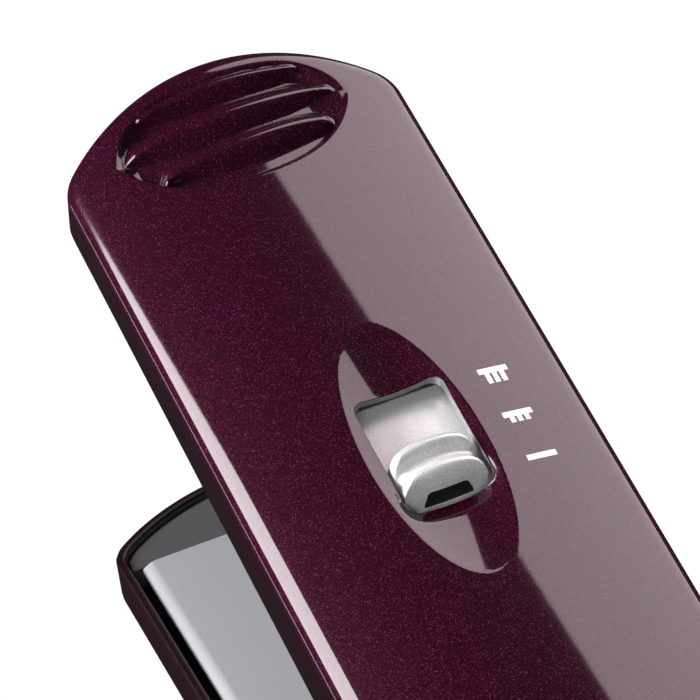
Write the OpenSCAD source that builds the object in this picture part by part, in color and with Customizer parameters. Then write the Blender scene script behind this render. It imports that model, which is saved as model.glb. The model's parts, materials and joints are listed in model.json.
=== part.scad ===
// Hair straightener with a comb that slides out beside the upper plate.
// Millimetres, +Z up. +X runs from the hinge to the tips, +Y to the left of the arms.
// The lower arm lies flat on its rest face; the upper arm stands open about the rear hinge.
// Origin: centre of the underside of the bounding box.

/* [Arms] */
// Hinge axis to tip
arm_l = 230; // [200:1:260]
// Width of both arms along the plates
arm_w = 42; // [38:0.5:50]
// Width of the handle
handle_w = 35; // [30:0.5:42]
// Thickness of one arm at the tip, on the centreline
tip_h = 10.8; // [10:0.1:14]
// Rise of the back towards the handle, mm per mm
back_rise = 0.036; // [0.02:0.001:0.04]
// Height the crowned back gains over the width
crown = 4; // [3:0.1:5]
// Radius of the tip seen from above
tip_r = 30; // [26:0.5:40]
// Radius of the two tip corners
corner_r = 5; // [3:0.25:7]
// Opening angle of the arms
open_deg = 15; // [8:0.5:25]

/* [Shells] */
// Side wall thickness
wall_t = 1.2; // [1:0.1:1.6]
// Back wall thickness
back_t = 1.6; // [1.2:0.1:2]
// Rear end of the shells, from the hinge axis
shell_x0 = 9; // [8.5:0.25:14]

/* [Plates] */
// Plate width
plate_w = 36.6; // [34:0.2:36.6]
// Plate length
plate_l = 108; // [90:1:112]
// Plate front edge, back from the tip
plate_set = 12; // [11:0.5:16]
// Width of the bevel along both edges
bevel_w = 1.6; // [1:0.1:2.2]
// Plate thickness
plate_t = 1.85; // [1.4:0.05:1.9]
// Half of the gap left between closed plates
half_gap = 0.15; // [0.1:0.05:0.4]
// Depth the lower plate can sink on its springs
float_z = 0.8; // [0.4:0.1:1]

/* [Comb] */
// Drop of the comb between stowed and full length
comb_drop = 3.3; // [2:0.1:3.3]
// Travel of the slider between the same two positions
slide_run = 6.6; // [5:0.1:7]
// Thickness of each comb strip
comb_t = 0.7; // [0.5:0.05:0.8]
// Tooth pitch
tooth_p = 3; // [2.5:0.25:5]
// Tooth width
tooth_w = 1.3; // [0.8:0.1:1.6]

/* [Slider] */
// Window centre, back from the tip
window_back = 61.9; // [60:0.1:66]
// Window length
window_l = 16.2; // [14:0.1:18]
// Window width
window_w = 11; // [9:0.25:12]
// Sideways offset of the window
window_y = -0.9; // [-1:0.1:1]
// Depth of the dish around the window
dish_d = 1.7; // [1:0.1:1.7]

/* [Hinge and cord gland] */
// Hinge knuckle radius
knuckle_r = 5.5; // [5:0.25:6]
// Hinge pin radius
pin_r = 1.5; // [1:0.1:2]
// Cord hole radius
cord_r = 2; // [1.6:0.1:2.2]
// Cord gland radius
gland_r = 3.5; // [3.3:0.1:3.6]

/* [Controls] */
// Button diameter
button_d = 7; // [5:0.5:8]
// Button press depth
press_z = 0.6; // [0.3:0.1:0.8]

/* [Hidden] */
$fn = 96;
e = 0.01;
slope = atan(back_rise);
half_w = arm_w / 2;
crown_r = (half_w * half_w + crown * crown) / (2 * crown);
rest_z = 14.6;                     // underside of the lower arm below the hinge axis
body_h = 15.2;                     // thickness of the arms along the handle
tail_x = -14;                      // rear end of the tail below the hinge
gland_x = -27;
corner_y = half_w - corner_r;
corner_x = arm_l - tip_r + sqrt(pow(tip_r - corner_r, 2) - pow(corner_y, 2));
tip_a = atan2(corner_y, corner_x - (arm_l - tip_r));
px1 = arm_l - plate_set;
px0 = px1 - plate_l;
comb_y = plate_w / 2 + 0.4;
shift_x = -(arm_l + gland_x) / 2;
win_x = arm_l - window_back;
win_h = tip_h + back_rise * window_back;   // back surface above the window
gland_z = -9.9;
pin_x = 2.9;                       // cam pin, forward of the window centre
pin_z = 7;                         // cam pin above the contact plane
cam_px = pin_x * cos(slope) - (pin_z - win_h) * sin(slope);
cam_pz = pin_x * sin(slope) + (pin_z - win_h) * cos(slope);
cam_dx = slide_run - comb_drop * sin(slope);
cam_dz = comb_drop * cos(slope);

// ---- shared shapes -------------------------------------------------------
module place() translate([shift_x, 0, rest_z]) children();
module upper() place() rotate([0, -open_deg, 0]) children();
module lower() place() mirror([0, 0, 1]) children();
// frame lying on the sloping back of an arm, origin at the window centre
module on_back() translate([win_x, window_y, win_h]) rotate([0, slope, 0]) children();

// outline of an arm seen from above, moved in by d
module plan(d = 0, x0 = 0) {
  w = half_w - d;
  h = handle_w / 2 - d;
  r = tip_r - d;
  tx = arm_l - tip_r + r * cos(tip_a);
  ty = r * sin(tip_a);
  polygon([[x0, -h], [34, -h], [92, -w], [corner_x, -w], [corner_x, -corner_y], [tx, -ty],
    [tx, ty], [corner_x, corner_y], [corner_x, w], [92, w], [34, h], [x0, h]]);
  for (s = [-1, 1]) translate([corner_x, s * corner_y]) circle(r = corner_r - d);
  intersection() {
    translate([arm_l - tip_r, 0]) circle(r = r);
    polygon([[arm_l - tip_r - 1, 0], [tx, -ty], [arm_l + 5, -ty], [arm_l + 5, ty], [tx, ty]]);
  }
}
// solid of an arm: outline cut by the crowned back
module arm_solid(d = 0, c = 0, x0 = 0, z0 = 0) {
  intersection() {
    translate([0, 0, z0]) linear_extrude(height = 20) plan(d, x0);
    translate([arm_l - crown_r * sin(slope), 0, tip_h - crown_r * cos(slope)])
      rotate([0, -(90 - slope), 0]) translate([0, 0, -20]) cylinder(r = crown_r - c, h = 320);
    translate([-40, 0, body_h - crown_r]) rotate([0, 90, 0]) cylinder(r = crown_r - c, h = 300);
  }
}
// spindle used to press shallow dishes: hl and hw half sizes, dep depth, along X
module spindle(hl, hw, dep) {
  rm = (hw * hw + dep * dep) / (2 * dep);
  rr = (hl * hl + dep * dep) / (2 * dep);
  translate([0, 0, rm - dep]) rotate([0, 90, 0]) rotate_extrude()
    intersection() {
      translate([rm - rr, 0]) circle(r = rr);
      translate([0, -hl - 6]) square([rm + 2, 2 * hl + 12]);
    }
}
// box by corner points
module box(x0, x1, y0, y1, z0, z1) translate([x0, y0, z0]) cube([x1 - x0, y1 - y0, z1 - z0]);

// open shell of one arm, contact side down
module shell_blank() {
  difference() {
    arm_solid(0, 0, shell_x0, half_gap);
    intersection() {
      arm_solid(wall_t, back_t, shell_x0 + 2, -1);
      union() {
        box(0, arm_l - 24, -30, 30, -2, 30);
        box(arm_l - 25, arm_l, -30, 30, -2, 6.6);
      }
    }
    // the nose falls away from the contact plane
    rotate([90, 0, 0]) translate([0, 0, -30]) linear_extrude(height = 60)
      polygon([[arm_l - 12, -1], [arm_l + 2, -1], [arm_l + 2, 1.3], [arm_l - 12, 0]]);
  }
}
// knuckle barrel with its web into the arm, between y0 and y1
module knuckle(y0, y1) {
  difference() {
    union() {
      translate([0, y0, 0]) rotate([-90, 0, 0]) cylinder(r = knuckle_r, h = y1 - y0);
      box(0, shell_x0 + 1.5, y0, y1, 0.4, knuckle_r);
    }
    translate([0, y0 - 1, 0]) rotate([-90, 0, 0]) cylinder(r = pin_r + 0.05, h = y1 - y0 + 2);
  }
}
// heat plate with bevelled edges and two ribs that hold the heater
module heat_plate() {
  w = plate_w / 2;
  translate([px0, 0, 0]) rotate([90, 0, 90]) linear_extrude(height = plate_l)
    polygon([[-w, half_gap + 0.8], [-w + bevel_w, half_gap], [w - bevel_w, half_gap],
      [w, half_gap + 0.8], [w, half_gap + plate_t], [11.6, half_gap + plate_t], [11.6, 3.9],
      [10.6, 3.9], [10.6, half_gap + plate_t], [-10.6, half_gap + plate_t], [-10.6, 3.9],
      [-11.6, 3.9], [-11.6, half_gap + plate_t], [-w, half_gap + plate_t]]);
}
module heater() {
  box(px0 + 12, px1 - 10, -9.6, 9.6, half_gap + plate_t, half_gap + plate_t + 1.2);
}
// three-legged clip pressing the heater onto the plate
module heater_clip() {
  z = half_gap + plate_t + 1.2;
  difference() {
    box(px0 + 16, px0 + 34, -10.5, 10.5, z, z + 0.5);
    for (s = [-1, 1]) box(px0 + 20, px0 + 30, s * 5.5 - 1.5, s * 5.5 + 1.5, z - 1, z + 1);
  }
}
// cover of the handle opening, seen from the contact side
module handle_cover() {
  difference() {
    translate([0, 0, 0.5]) linear_extrude(height = 1.6) intersection() {
      plan(wall_t + 0.02, shell_x0 + 2.1);
      translate([0, -30]) square([px0 - 0.6, 60]);
    }
    for (x = [24, 96]) {
      translate([x, 0, -1]) cylinder(r = 1.25, h = 4);
      translate([x, 0, 0]) cylinder(r = 2.3, h = 1.3);
    }
  }
}
// nose piece between the plate and the tip
module nose_cover() {
  difference() {
    translate([0, 0, 1.2]) linear_extrude(height = 3) intersection() {
      plan(wall_t + 0.02, 0);
      translate([px1 + 0.5, -30]) square([30, 60]);
    }
    rotate([90, 0, 0]) translate([0, 0, -30]) linear_extrude(height = 60)
      polygon([[px1 - 1, 0], [arm_l + 1, 0], [arm_l + 1, 2.2], [px1 - 1, 1]]);
  }
}
// pan-head screw, head towards the contact side
module screw() {
  difference() {
    union() { translate([0, 0, 0.55]) cylinder(r = 2.15, h = 0.75); cylinder(r = 1.15, h = 7); }
    translate([0, 0, -0.1]) cylinder(r = 3, h = 0.65);
    for (a = [0, 90]) rotate([0, 0, a]) translate([-1.3, -0.25, 0.5]) cube([2.6, 0.5, 0.5]);
  }
}
// boss that takes a cover screw
module boss(x) translate([x, 0, 2.1]) difference() {
  cylinder(r = 2.8, h = 11.9);
  translate([0, 0, -e]) cylinder(r = 1.2, h = 5.2);
}
// button cap in the lower cover, contact side down
module cap(x) translate([x, 0, 0.7]) {
  cylinder(d = button_d, h = 1.75);
  translate([0, 0, 1.7]) cylinder(d = button_d + 1.6, h = 0.5);
  translate([0, 0, 2.1]) cylinder(d = 2.4, h = 0.3);
}
// comb strip: teeth point down through the gap beside the plate
module comb_strip() {
  n = floor((px1 - 4 - (px0 + 2)) / tooth_p);
  difference() {
    box(px0 + 2, px0 + 2 + n * tooth_p, 0, comb_t, 0.5, 5.8);
    for (i = [0 : n - 1])
      box(px0 + 2 + i * tooth_p + tooth_w, px0 + 2 + (i + 1) * tooth_p + (i == n - 1 ? 1 : 0),
        -1, comb_t + 1, -1, 4.6);
  }
}
// arch that follows the inside of the crown at x, from comb to comb
module arch(x) {
  r = crown_r - back_t - 0.35;
  zt = tip_h + back_rise * (arm_l - x - 3) - crown_r;
  z = min(zt, body_h - crown_r);
  intersection() {
    translate([x, 0, z]) rotate([0, 90, 0]) difference() {
      cylinder(r = r, h = 3);
      translate([0, 0, -1]) cylinder(r = r - 0.8, h = 5);
    }
    box(x - 1, x + 4, -14.8, 14.8, 4.8, 30);
  }
}

// ---- lower arm -----------------------------------------------------------
module lower_shell() color([0.20, 0.07, 0.13]) lower() difference() {
  union() {
    difference() {
      union() {
        shell_blank();
        boss(24);
        boss(96);
        // tail below the hinge that holds the cord gland
        translate([0, 0, 6]) linear_extrude(height = 9) union() {
          polygon([[shell_x0 + 2, -15.5], [2, -15.5], [-7, -12], [tail_x, -6.5],
            [tail_x, 6.5], [-7, 12], [2, 15.5], [shell_x0 + 2, 15.5]]);
        }
      }
      translate([tail_x - 1, 0, -gland_z]) rotate([0, 90, 0]) cylinder(r = gland_r + 0.05, h = 7);
      translate([tail_x - 1, 0, -gland_z]) rotate([0, 90, 0]) cylinder(r = gland_r - 0.6, h = 30);
      // seat of the gland collar, open upwards
      translate([-12, 0, -gland_z]) rotate([0, 90, 0]) cylinder(r = gland_r + 0.9, h = 2.3);
      box(-12, -9.7, -gland_r - 0.9, gland_r + 0.9, 5, -gland_z);
    }
    for (s = [-1, 1]) knuckle(s > 0 ? 10 : -15.5, s > 0 ? 15.5 : -10);
  }
  // flat rest face
  box(-30, arm_l + 10, -30, 30, rest_z, 20);
}
module lower_handle_cover() color([0.12, 0.12, 0.13]) lower() difference() {
  handle_cover();
  for (x = [44, 56, 84]) translate([x, 0, -1]) cylinder(d = button_d + 0.6, h = 4);
  box(62, 78, -6, 6, -1, 4);
}
module lower_nose_cover() color([0.32, 0.33, 0.35]) lower() nose_cover();
module lower_heat_plate() color([0.62, 0.63, 0.65]) lower() heat_plate();
module lower_heater() color([0.93, 0.93, 0.90]) lower() heater();
module lower_heater_clip() color([0.75, 0.75, 0.77]) lower() heater_clip();
module lower_thermistor() color([0.85, 0.55, 0.20]) lower()
  translate([px0 + 48, 0, half_gap + plate_t + 1.2]) {
    translate([0, 0, 0.9]) rotate([0, 90, 0]) cylinder(r = 0.9, h = 5);
    box(-6, 0.1, -0.4, 0.4, 0, 0.6);
  }
// four spring feet that carry the floating plate
module plate_springs() color([0.78, 0.78, 0.80]) lower() intersection() {
  union() for (x = [px0 + 8, px1 - 18]) for (s = [-1, 1]) translate([x, s * 15, 0]) {
    for (k = [0 : 2]) translate([0, 0, 3.6 + k * 0.9]) rotate_extrude()
      translate([1.3, 0]) circle(r = 0.3);
    translate([0, 0, 3.3]) cylinder(r = 0.8, h = 8.5);
    for (k = [0 : 2]) box(0, 1.5, -0.2, 0.2, 3.4 + k * 0.9, 3.8 + k * 0.9);
  }
  arm_solid(wall_t + 0.3, back_t + 0.02, 0, 0);
}
module control_board() color([0.05, 0.30, 0.15]) lower() {
  box(34, 92, -13, 13, 5.6, 7.0);
  box(36, 46, 3, 12, 6.9, 9.6);
  box(62, 78, -5, 5, 4.2, 5.7);
  box(84, 90, -12, -4, 6.9, 8.6);
  translate([50, -7, 6.9]) cylinder(r = 3, h = 4);
  for (x = [44, 56, 84]) box(x - 1.8, x + 1.8, -1.8, 1.8, 3.8, 5.7);
}
module display_lens() color([0.03, 0.03, 0.04]) lower() {
  box(62.1, 77.9, -5.9, 5.9, 0.7, 1.7);
  box(61, 79, -7, 7, 2.1, 2.6);
  box(62.2, 77.8, -5.8, 5.8, 1.6, 2.2);
}
// leads from the board to the plate
module harness() color([0.80, 0.25, 0.20]) lower() for (y = [5, 7.2, 9.4])
  translate([92, y, 7.6]) rotate([0, 90, 0]) cylinder(r = 0.7, h = 32);
module cover_screws() color([0.75, 0.75, 0.77]) lower() for (x = [24, 96]) translate([x, 0, 0]) screw();
module hinge_pin() color([0.70, 0.70, 0.72]) place() {
  translate([0, -16.4, 0]) rotate([-90, 0, 0]) cylinder(r = pin_r, h = 32.8);
}
// torsion spring that opens the arms, one coil each side of the middle knuckle
module hinge_spring() color([0.80, 0.80, 0.82]) place() for (s = [-1, 1]) {
  for (k = [0 : 2]) translate([0, s * (7.0 + k * 1.15), 0]) rotate([90, 0, 0]) rotate_extrude()
    translate([3, 0]) circle(r = 0.5);
  translate([-3, s * 8.15, 0]) rotate([90, 0, 0]) cylinder(r = 0.3, h = 2.8, center = true);
  translate([1.6, s * 9.3 - 0.4, -3.4]) cube([7, 0.8, 0.8]);
}
module hinge_caps() color([0.16, 0.06, 0.10]) place() for (s = [-1, 1]) difference() {
  union() {
    translate([0, s * 15.8 + (s > 0 ? 0 : -1.7), 0]) rotate([-90, 0, 0]) cylinder(r = 5.7, h = 1.7);
  }
  translate([0, s * 15.8 + (s > 0 ? -1 : -0.75), 0]) rotate([-90, 0, 0]) cylinder(r = pin_r + 0.02, h = 1.75);
}
// split ring that keeps the gland in the tail
module gland_collar() color([0.25, 0.25, 0.27]) lower() translate([-11.9, 0, -gland_z]) rotate([0, 90, 0]) difference() {
  cylinder(r = gland_r + 0.8, h = 2.1);
  translate([0, 0, -1]) cylinder(r = gland_r - 0.7 + 0.05, h = 5);
  translate([0, -gland_r + 0.7, -1]) cube([10, 2 * gland_r - 1.4, 5]);
}
// turning gland for the cord, with a flared mouth
// soft nubs that keep the hot end off the table
module rest_nubs() color([0.08, 0.08, 0.08]) lower() difference() {
  for (s = [-1, 1]) translate([185, s * 9, 0]) {
    translate([0, 0, 11.2]) cylinder(r = 3.2, h = rest_z - 11.9);
    translate([0, 0, 11.2]) cylinder(r = 2.5, h = rest_z - 11.2);
  }
  arm_solid(0, 0, shell_x0, 0);
}
module cord_gland() color([0.10, 0.10, 0.11]) place() translate([gland_x, 0, gland_z]) rotate([0, 90, 0])
  difference() {
    union() {
      cylinder(r1 = gland_r - 0.8, r2 = gland_r + 0.6, h = 3);
      translate([0, 0, 3]) cylinder(r = gland_r + 0.6, h = 9.6);
      translate([0, 0, 12.5]) cylinder(r = gland_r, h = 2.4);
      translate([0, 0, 14.8]) cylinder(r = gland_r - 0.7, h = 2.7);
      translate([0, 0, 17.4]) cylinder(r = gland_r, h = 1.2);
    }
    translate([0, 0, -1]) cylinder(r = cord_r, h = 25);
    for (a = [0 : 45 : 359]) rotate([0, 0, a]) translate([gland_r + 0.9, 0, 4]) cylinder(r = 0.6, h = 7);
  }
module power_button() color([0.55, 0.55, 0.57]) lower() cap(84);
module temp_up_button() color([0.30, 0.30, 0.32]) lower() cap(56);
module temp_down_button() color([0.30, 0.30, 0.32]) lower() cap(44);

// ---- upper arm -----------------------------------------------------------
module upper_shell() color([0.24, 0.08, 0.15]) upper() {
  difference() {
    union() {
      shell_blank();
      boss(24);
      boss(96);
      // pad that thickens the back under the dish
      intersection() {
        on_back() box(-21, 21, -9.5, 9.5, -2.7, -1.3);
        arm_solid(0, 0.5, shell_x0, 0);
      }
    }
    on_back() translate([-1.6, 0, 0]) spindle(17.6, 7, dish_d);
    on_back() {
      box(-window_l / 2 + 1.5, window_l / 2 - 1.5, -window_w / 2, window_w / 2, -6, 2);
      box(-window_l / 2, window_l / 2, -window_w / 2 + 1.5, window_w / 2 - 1.5, -6, 2);
      for (sx = [-1, 1]) for (sy = [-1, 1])
        translate([sx * (window_l / 2 - 1.5), sy * (window_w / 2 - 1.5), -6]) cylinder(r = 1.5, h = 8);
    }
    // finger recess at the tip
    translate([arm_l - 10, 0, tip_h + 0.36]) rotate([0, slope, 90]) spindle(14.5, 9.4, 1.5);
  }
  knuckle(-6, 6);
  // finger ridges
  for (k = [0 : 2]) intersection() {
    translate([arm_l - 4.2 - 4.6 * k, 0, tip_h + 0.1 + 0.17 * k - crown_r - 1.0]) rotate([0, 90, 0])
      translate([0, 0, -0.8]) difference() {
        cylinder(r = crown_r + 0.7, h = 1.6);
        translate([0, 0, -1]) cylinder(r = crown_r - 2.2, h = 4);
      }
    box(arm_l - 20, arm_l, k == 1 ? -13.5 : -11, k == 1 ? 13.5 : 11, 6.8, 20);
    arm_solid(0.8, 0.15, 0, 0);
  }
}
module upper_handle_cover() color([0.12, 0.12, 0.13]) upper() handle_cover();
module upper_nose_cover() color([0.32, 0.33, 0.35]) upper() nose_cover();
module upper_heat_plate() color([0.62, 0.63, 0.65]) upper() union() {
  heat_plate();
  // posts that fix the plate to the back
  for (x = [px0 + 2.5, px1 - 8]) for (s = [-1, 1]) intersection() {
    translate([x, s * 13.2, 1.9]) cylinder(r = 0.55, h = x > arm_l - 24 ? 4.7 : 11);
    arm_solid(wall_t, back_t, 0, 0);
  }
}
module upper_heater() color([0.93, 0.93, 0.90]) upper() heater();
module upper_heater_clip() color([0.75, 0.75, 0.77]) upper() heater_clip();
module thermal_fuse() color([0.80, 0.72, 0.45]) upper()
  translate([px0 + 44, 0, half_gap + plate_t + 1.2]) {
    translate([0, 0, 1]) rotate([0, 90, 0]) cylinder(r = 1, h = 8);
    translate([-5, 0, 0.6]) rotate([0, 90, 0]) cylinder(r = 0.3, h = 18);
  }
// two rails beside the slide plate
module slider_guide() color([0.15, 0.15, 0.16]) upper() on_back() for (s = [-1, 1])
  box(-17, 16, s > 0 ? 7.4 : -8.8, s > 0 ? 8.8 : -7.4, -4.2, -2.7);
// leaf with a dimple that catches the three slider positions
module detent_spring() color([0.82, 0.82, 0.84]) upper() on_back() {
  box(5.2, 18, 5.7, 7, -3.1, -2.7);
  translate([6.5, 6.35, -3.1]) sphere(r = 0.25);
}
module upper_screws() color([0.75, 0.75, 0.77]) upper() for (x = [24, 96]) translate([x, 0, 0]) screw();

// ---- comb slider ---------------------------------------------------------
// grip with two arched ridges and a cut-out in its rear face
module slider_button() color([0.78, 0.78, 0.80]) upper() on_back() translate([-3.7, 0, 0]) difference() {
  intersection() {
    union() {
      box(-3.3, 3.9, -4.9, 4.9, -3.5, -1.2);
      translate([0, 0, -0.9]) {
        translate([2.4, 0, 0]) rotate([90, 0, 0]) cylinder(r = 1.5, h = 9.8, center = true);
        translate([-1.2, 0, 0]) rotate([90, 0, 0]) cylinder(r = 1.6, h = 9.8, center = true);
      }
    }
    translate([0, 0, -13.1]) rotate([0, 90, 0]) translate([0, 0, -5]) cylinder(r = 14, h = 10);
  }
  rotate([90, 0, -90]) translate([0, 0, 2.5]) linear_extrude(height = 2)
    polygon([[-2.6, -2.8], [2.6, -2.8], [1.8, -1.8], [-1.8, -1.8]]);
}
module slide_plate() color([0.72, 0.72, 0.74]) upper() on_back() difference() {
  box(-16, 8.7, -7, 7, -4.3, -3.5);
  for (k = [0 : 2]) translate([6.5 - k * slide_run / 2, 6.35, -3.4]) sphere(r = 0.35);
}
// plate under the slide plate with two ramped webs that drive the comb pins
module cam_plate() color([0.60, 0.60, 0.63]) upper() on_back() union() {
  box(-6, 4.6, -5, 5, -5.2, -4.3);
  for (s = [-1, 1]) box(-6, 4.6, s > 0 ? 4.8 : -13 - window_y, s > 0 ? 13 - window_y : -4.8, -5.2, -4.6);
  for (s = [-1, 1]) translate([0, s * 12.6 - window_y - 0.4, 0]) difference() {
    box(-6, 4.6, 0, 0.8, -10.35, -4.6);
    translate([cam_px, 0.4, cam_pz]) {
      rotate([90, 0, 0]) cylinder(r = 0.65, h = 3, center = true);
      translate([-cam_dx, 0, -cam_dz]) rotate([90, 0, 0]) cylinder(r = 0.65, h = 3, center = true);
      rotate([0, -atan2(cam_dz, cam_dx), 0]) translate([-norm([cam_dx, cam_dz]), -1.5, -0.65])
        cube([norm([cam_dx, cam_dz]), 3, 1.3]);
    }
  }
}

// ---- comb ----------------------------------------------------------------
// frame that carries both combs, with the two cam pins
module comb_carrier() color([0.66, 0.66, 0.69]) upper() {
  for (x = [px0 + 6, arm_l - 38]) {
    arch(x);
    for (s = [-1, 1]) {
      intersection() {
        box(x, x + 3, s > 0 ? 14.0 : -14.8, s > 0 ? 14.8 : -14.0, 5.8, 16);
        arm_solid(0, back_t + 0.4, 0, 0);
      }
      box(x, x + 3, s > 0 ? 14.0 : -comb_y - comb_t, s > 0 ? comb_y + comb_t : -14.0, 5.8, 6.6);
    }
  }
  for (s = [-1, 1]) {
    box(px0 + 6, arm_l - 35, s > 0 ? 14.0 : -14.8, s > 0 ? 14.8 : -14.0, 6.4, 8.0);
    translate([win_x + pin_x, s * 13.1, pin_z]) rotate([90, 0, 0]) cylinder(r = 0.55, h = 2.6, center = true);
  }
}
module left_comb() color([0.10, 0.10, 0.11]) upper() translate([0, comb_y, 0]) comb_strip();
module right_comb() color([0.10, 0.10, 0.11]) upper() translate([0, -comb_y - comb_t, 0]) comb_strip();

lower_shell();
lower_handle_cover();
lower_nose_cover();
lower_heat_plate();
lower_heater();
lower_heater_clip();
lower_thermistor();
plate_springs();
control_board();
display_lens();
harness();
cover_screws();
hinge_pin();
hinge_spring();
hinge_caps();
gland_collar();
rest_nubs();
cord_gland();
power_button();
temp_up_button();
temp_down_button();
upper_shell();
upper_handle_cover();
upper_nose_cover();
upper_heat_plate();
upper_heater();
upper_heater_clip();
thermal_fuse();
slider_guide();
detent_spring();
upper_screws();
slider_button();
slide_plate();
cam_plate();
comb_carrier();
left_comb();
right_comb();
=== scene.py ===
"""Looks for the hair straightener with a slide-out comb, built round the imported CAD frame."""
import json
import math

import bmesh
import bpy
import numpy as np
from mathutils import Matrix, Vector


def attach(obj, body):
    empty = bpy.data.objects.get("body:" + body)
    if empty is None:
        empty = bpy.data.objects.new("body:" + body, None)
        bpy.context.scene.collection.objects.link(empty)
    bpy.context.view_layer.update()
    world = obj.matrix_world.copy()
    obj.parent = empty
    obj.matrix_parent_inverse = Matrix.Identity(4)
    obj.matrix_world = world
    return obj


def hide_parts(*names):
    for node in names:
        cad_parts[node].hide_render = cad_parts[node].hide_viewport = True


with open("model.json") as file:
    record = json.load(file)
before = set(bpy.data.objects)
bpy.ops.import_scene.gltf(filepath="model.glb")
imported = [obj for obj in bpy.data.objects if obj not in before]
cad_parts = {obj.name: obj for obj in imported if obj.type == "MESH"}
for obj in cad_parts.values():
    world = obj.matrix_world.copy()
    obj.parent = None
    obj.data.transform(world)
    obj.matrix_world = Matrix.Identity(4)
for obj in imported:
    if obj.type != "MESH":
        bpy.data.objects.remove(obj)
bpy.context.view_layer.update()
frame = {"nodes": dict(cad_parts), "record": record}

# ---------------------------------------------------------------- sizes, mm
# An arm's own frame: X from the hinge to the tip, Y to the left, Z up from the plane where the arms meet.
ARM_L, HALF_W, HANDLE_HALF = 230.0, 21.0, 17.5
WIDEN_X, WIDEN_L = 28, 70                     # where the handle widens into the head
TIP_H, RISE, BODY_H, REST_Z = 10.8, 0.036, 15.2, 14.6
CROWN_H = 4.0
CROWN_R = (HALF_W ** 2 + CROWN_H ** 2) / (2 * CROWN_H)
TIP_R, CORNER_R, REAR_R = 30.0, 5.0, 4.0      # radii of the outline
SHELL_X0, HALF_GAP, WALL, BACK = 9.0, 0.15, 1.2, 1.6
EDGE_IN, EDGE_DOWN = 1.9, 1.5                 # rounded edge between the back and the side wall
NOSE_L, NOSE_RISE = 12.0, 1.25
PLATE_L, PLATE_HALF, PLATE_T = 108.0, 18.3, 1.85
PX1 = ARM_L - NOSE_L                          # the heat plate runs from PX0 to PX1
PX0 = PX1 - PLATE_L
WIN_BACK, WIN_Y, WIN_LEN, WIN_WID, WIN_R = 61.9, -0.9, 16.2, 11.0, 1.6
POWER_X, TEMP_UP_X, TEMP_DOWN_X, LENS_X = 84, 56, 44, 70.0
NUB_X, NUB_Y = 185, 9
GLAND_END = -27.0

OPEN = math.radians(15)
SLOPE = math.atan(RISE)
SHIFT_X = -(ARM_L + GLAND_END) / 2            # the hinge's place in the row's frame
CY = HALF_W - CORNER_R                        # centre of the outline's front corner
CX = ARM_L - TIP_R + math.sqrt((TIP_R - CORNER_R) ** 2 - CY ** 2)
TIP_A = math.atan2(CY, CX - (ARM_L - TIP_R))
CORNER_MID = (math.pi / 2 + TIP_A) / 2

# from an arm's own frame, in mm, to the row's frame, in metres
MM = Matrix.Diagonal((0.001, 0.001, 0.001, 1.0))
ROW = Matrix.Translation((SHIFT_X / 1000, 0, REST_Z / 1000))
TO_ROW = ROW @ MM
TO_LOWER = ROW @ MM @ Matrix.Diagonal((1, 1, -1, 1))
TO_UPPER = ROW @ Matrix.Rotation(-OPEN, 4, "Y") @ MM
WIN_H = TIP_H + RISE * WIN_BACK
WINDOW = Matrix.Translation((ARM_L - WIN_BACK, WIN_Y, WIN_H)) @ Matrix.Rotation(SLOPE, 4, "Y")
ON_BACK = TO_UPPER @ WINDOW


# ---------------------------------------------------------------- materials
def material(name, base, rough=0.5, metal=0.0, coat=0.0, coat_rough=0.03, spec=0.5):
    m = bpy.data.materials.new(name)
    m.use_nodes = True
    sockets = {"Base Color": (*base, 1), "Roughness": rough, "Metallic": metal, "Coat Weight": coat,
               "Coat Roughness": coat_rough, "Specular IOR Level": spec, "IOR": 1.5}
    for socket, value in sockets.items():
        bsdf(m).inputs[socket].default_value = value
    return m


def node(m, kind, **inputs):
    """New node: a name with a leading _ sets a property, any other an input (__ stands for a space)."""
    n = m.node_tree.nodes.new(kind)
    for k, v in inputs.items():
        if k.startswith("_"):
            setattr(n, k[1:], v)
        else:
            n.inputs[k.replace("__", " ")].default_value = v
    return n


def link(m, a, out, b, inp):
    m.node_tree.links.new(a.outputs[out], b.inputs[inp])


def bsdf(m):
    return m.node_tree.nodes["Principled BSDF"]


def ramp(m, stops):
    r = node(m, "ShaderNodeValToRGB")
    el = r.color_ramp.elements
    while len(el) < len(stops):
        el.new(0.5)
    for e, (p, c) in zip(el, stops):
        e.position = p
        e.color = (*c, 1)
    return r


def object_texture(m, kind, **inputs):
    """Texture node in the object's own coordinates."""
    n = node(m, kind, **inputs)
    link(m, node(m, "ShaderNodeTexCoord"), "Object", n, "Vector")
    return n


def grain(m, scale, strength, distance=0.0001, contrast=0.6, rough_range=None, tint=None):
    """Fine grain: bump, with small changes of roughness and colour."""
    n = object_texture(m, "ShaderNodeTexNoise", Scale=scale, Detail=2.0, Roughness=contrast)
    bump = node(m, "ShaderNodeBump", Strength=strength, Distance=distance)
    link(m, n, "Fac", bump, "Height")
    link(m, bump, "Normal", bsdf(m), "Normal")
    if rough_range:
        mr = node(m, "ShaderNodeMapRange", To__Min=rough_range[0], To__Max=rough_range[1])
        link(m, n, "Fac", mr, "Value")
        link(m, mr, "Result", bsdf(m), "Roughness")
    if tint:
        r = ramp(m, [(0.3, tint[0]), (0.7, tint[1])])
        link(m, n, "Fac", r, "Fac")
        link(m, r, "Color", bsdf(m), "Base Color")
    return m


def silver(name, low, high):
    """Silver paint with a fine metallic grain."""
    paint = material(name, (0.66, 0.67, 0.66), rough=0.34, metal=0.45, coat=0.25, coat_rough=0.25)
    return grain(paint, 7500, 0.3, distance=0.00006, contrast=0.8, rough_range=(0.26, 0.44),
                 tint=((low, low * 1.01, low), (high, high * 1.01, high)))


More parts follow.
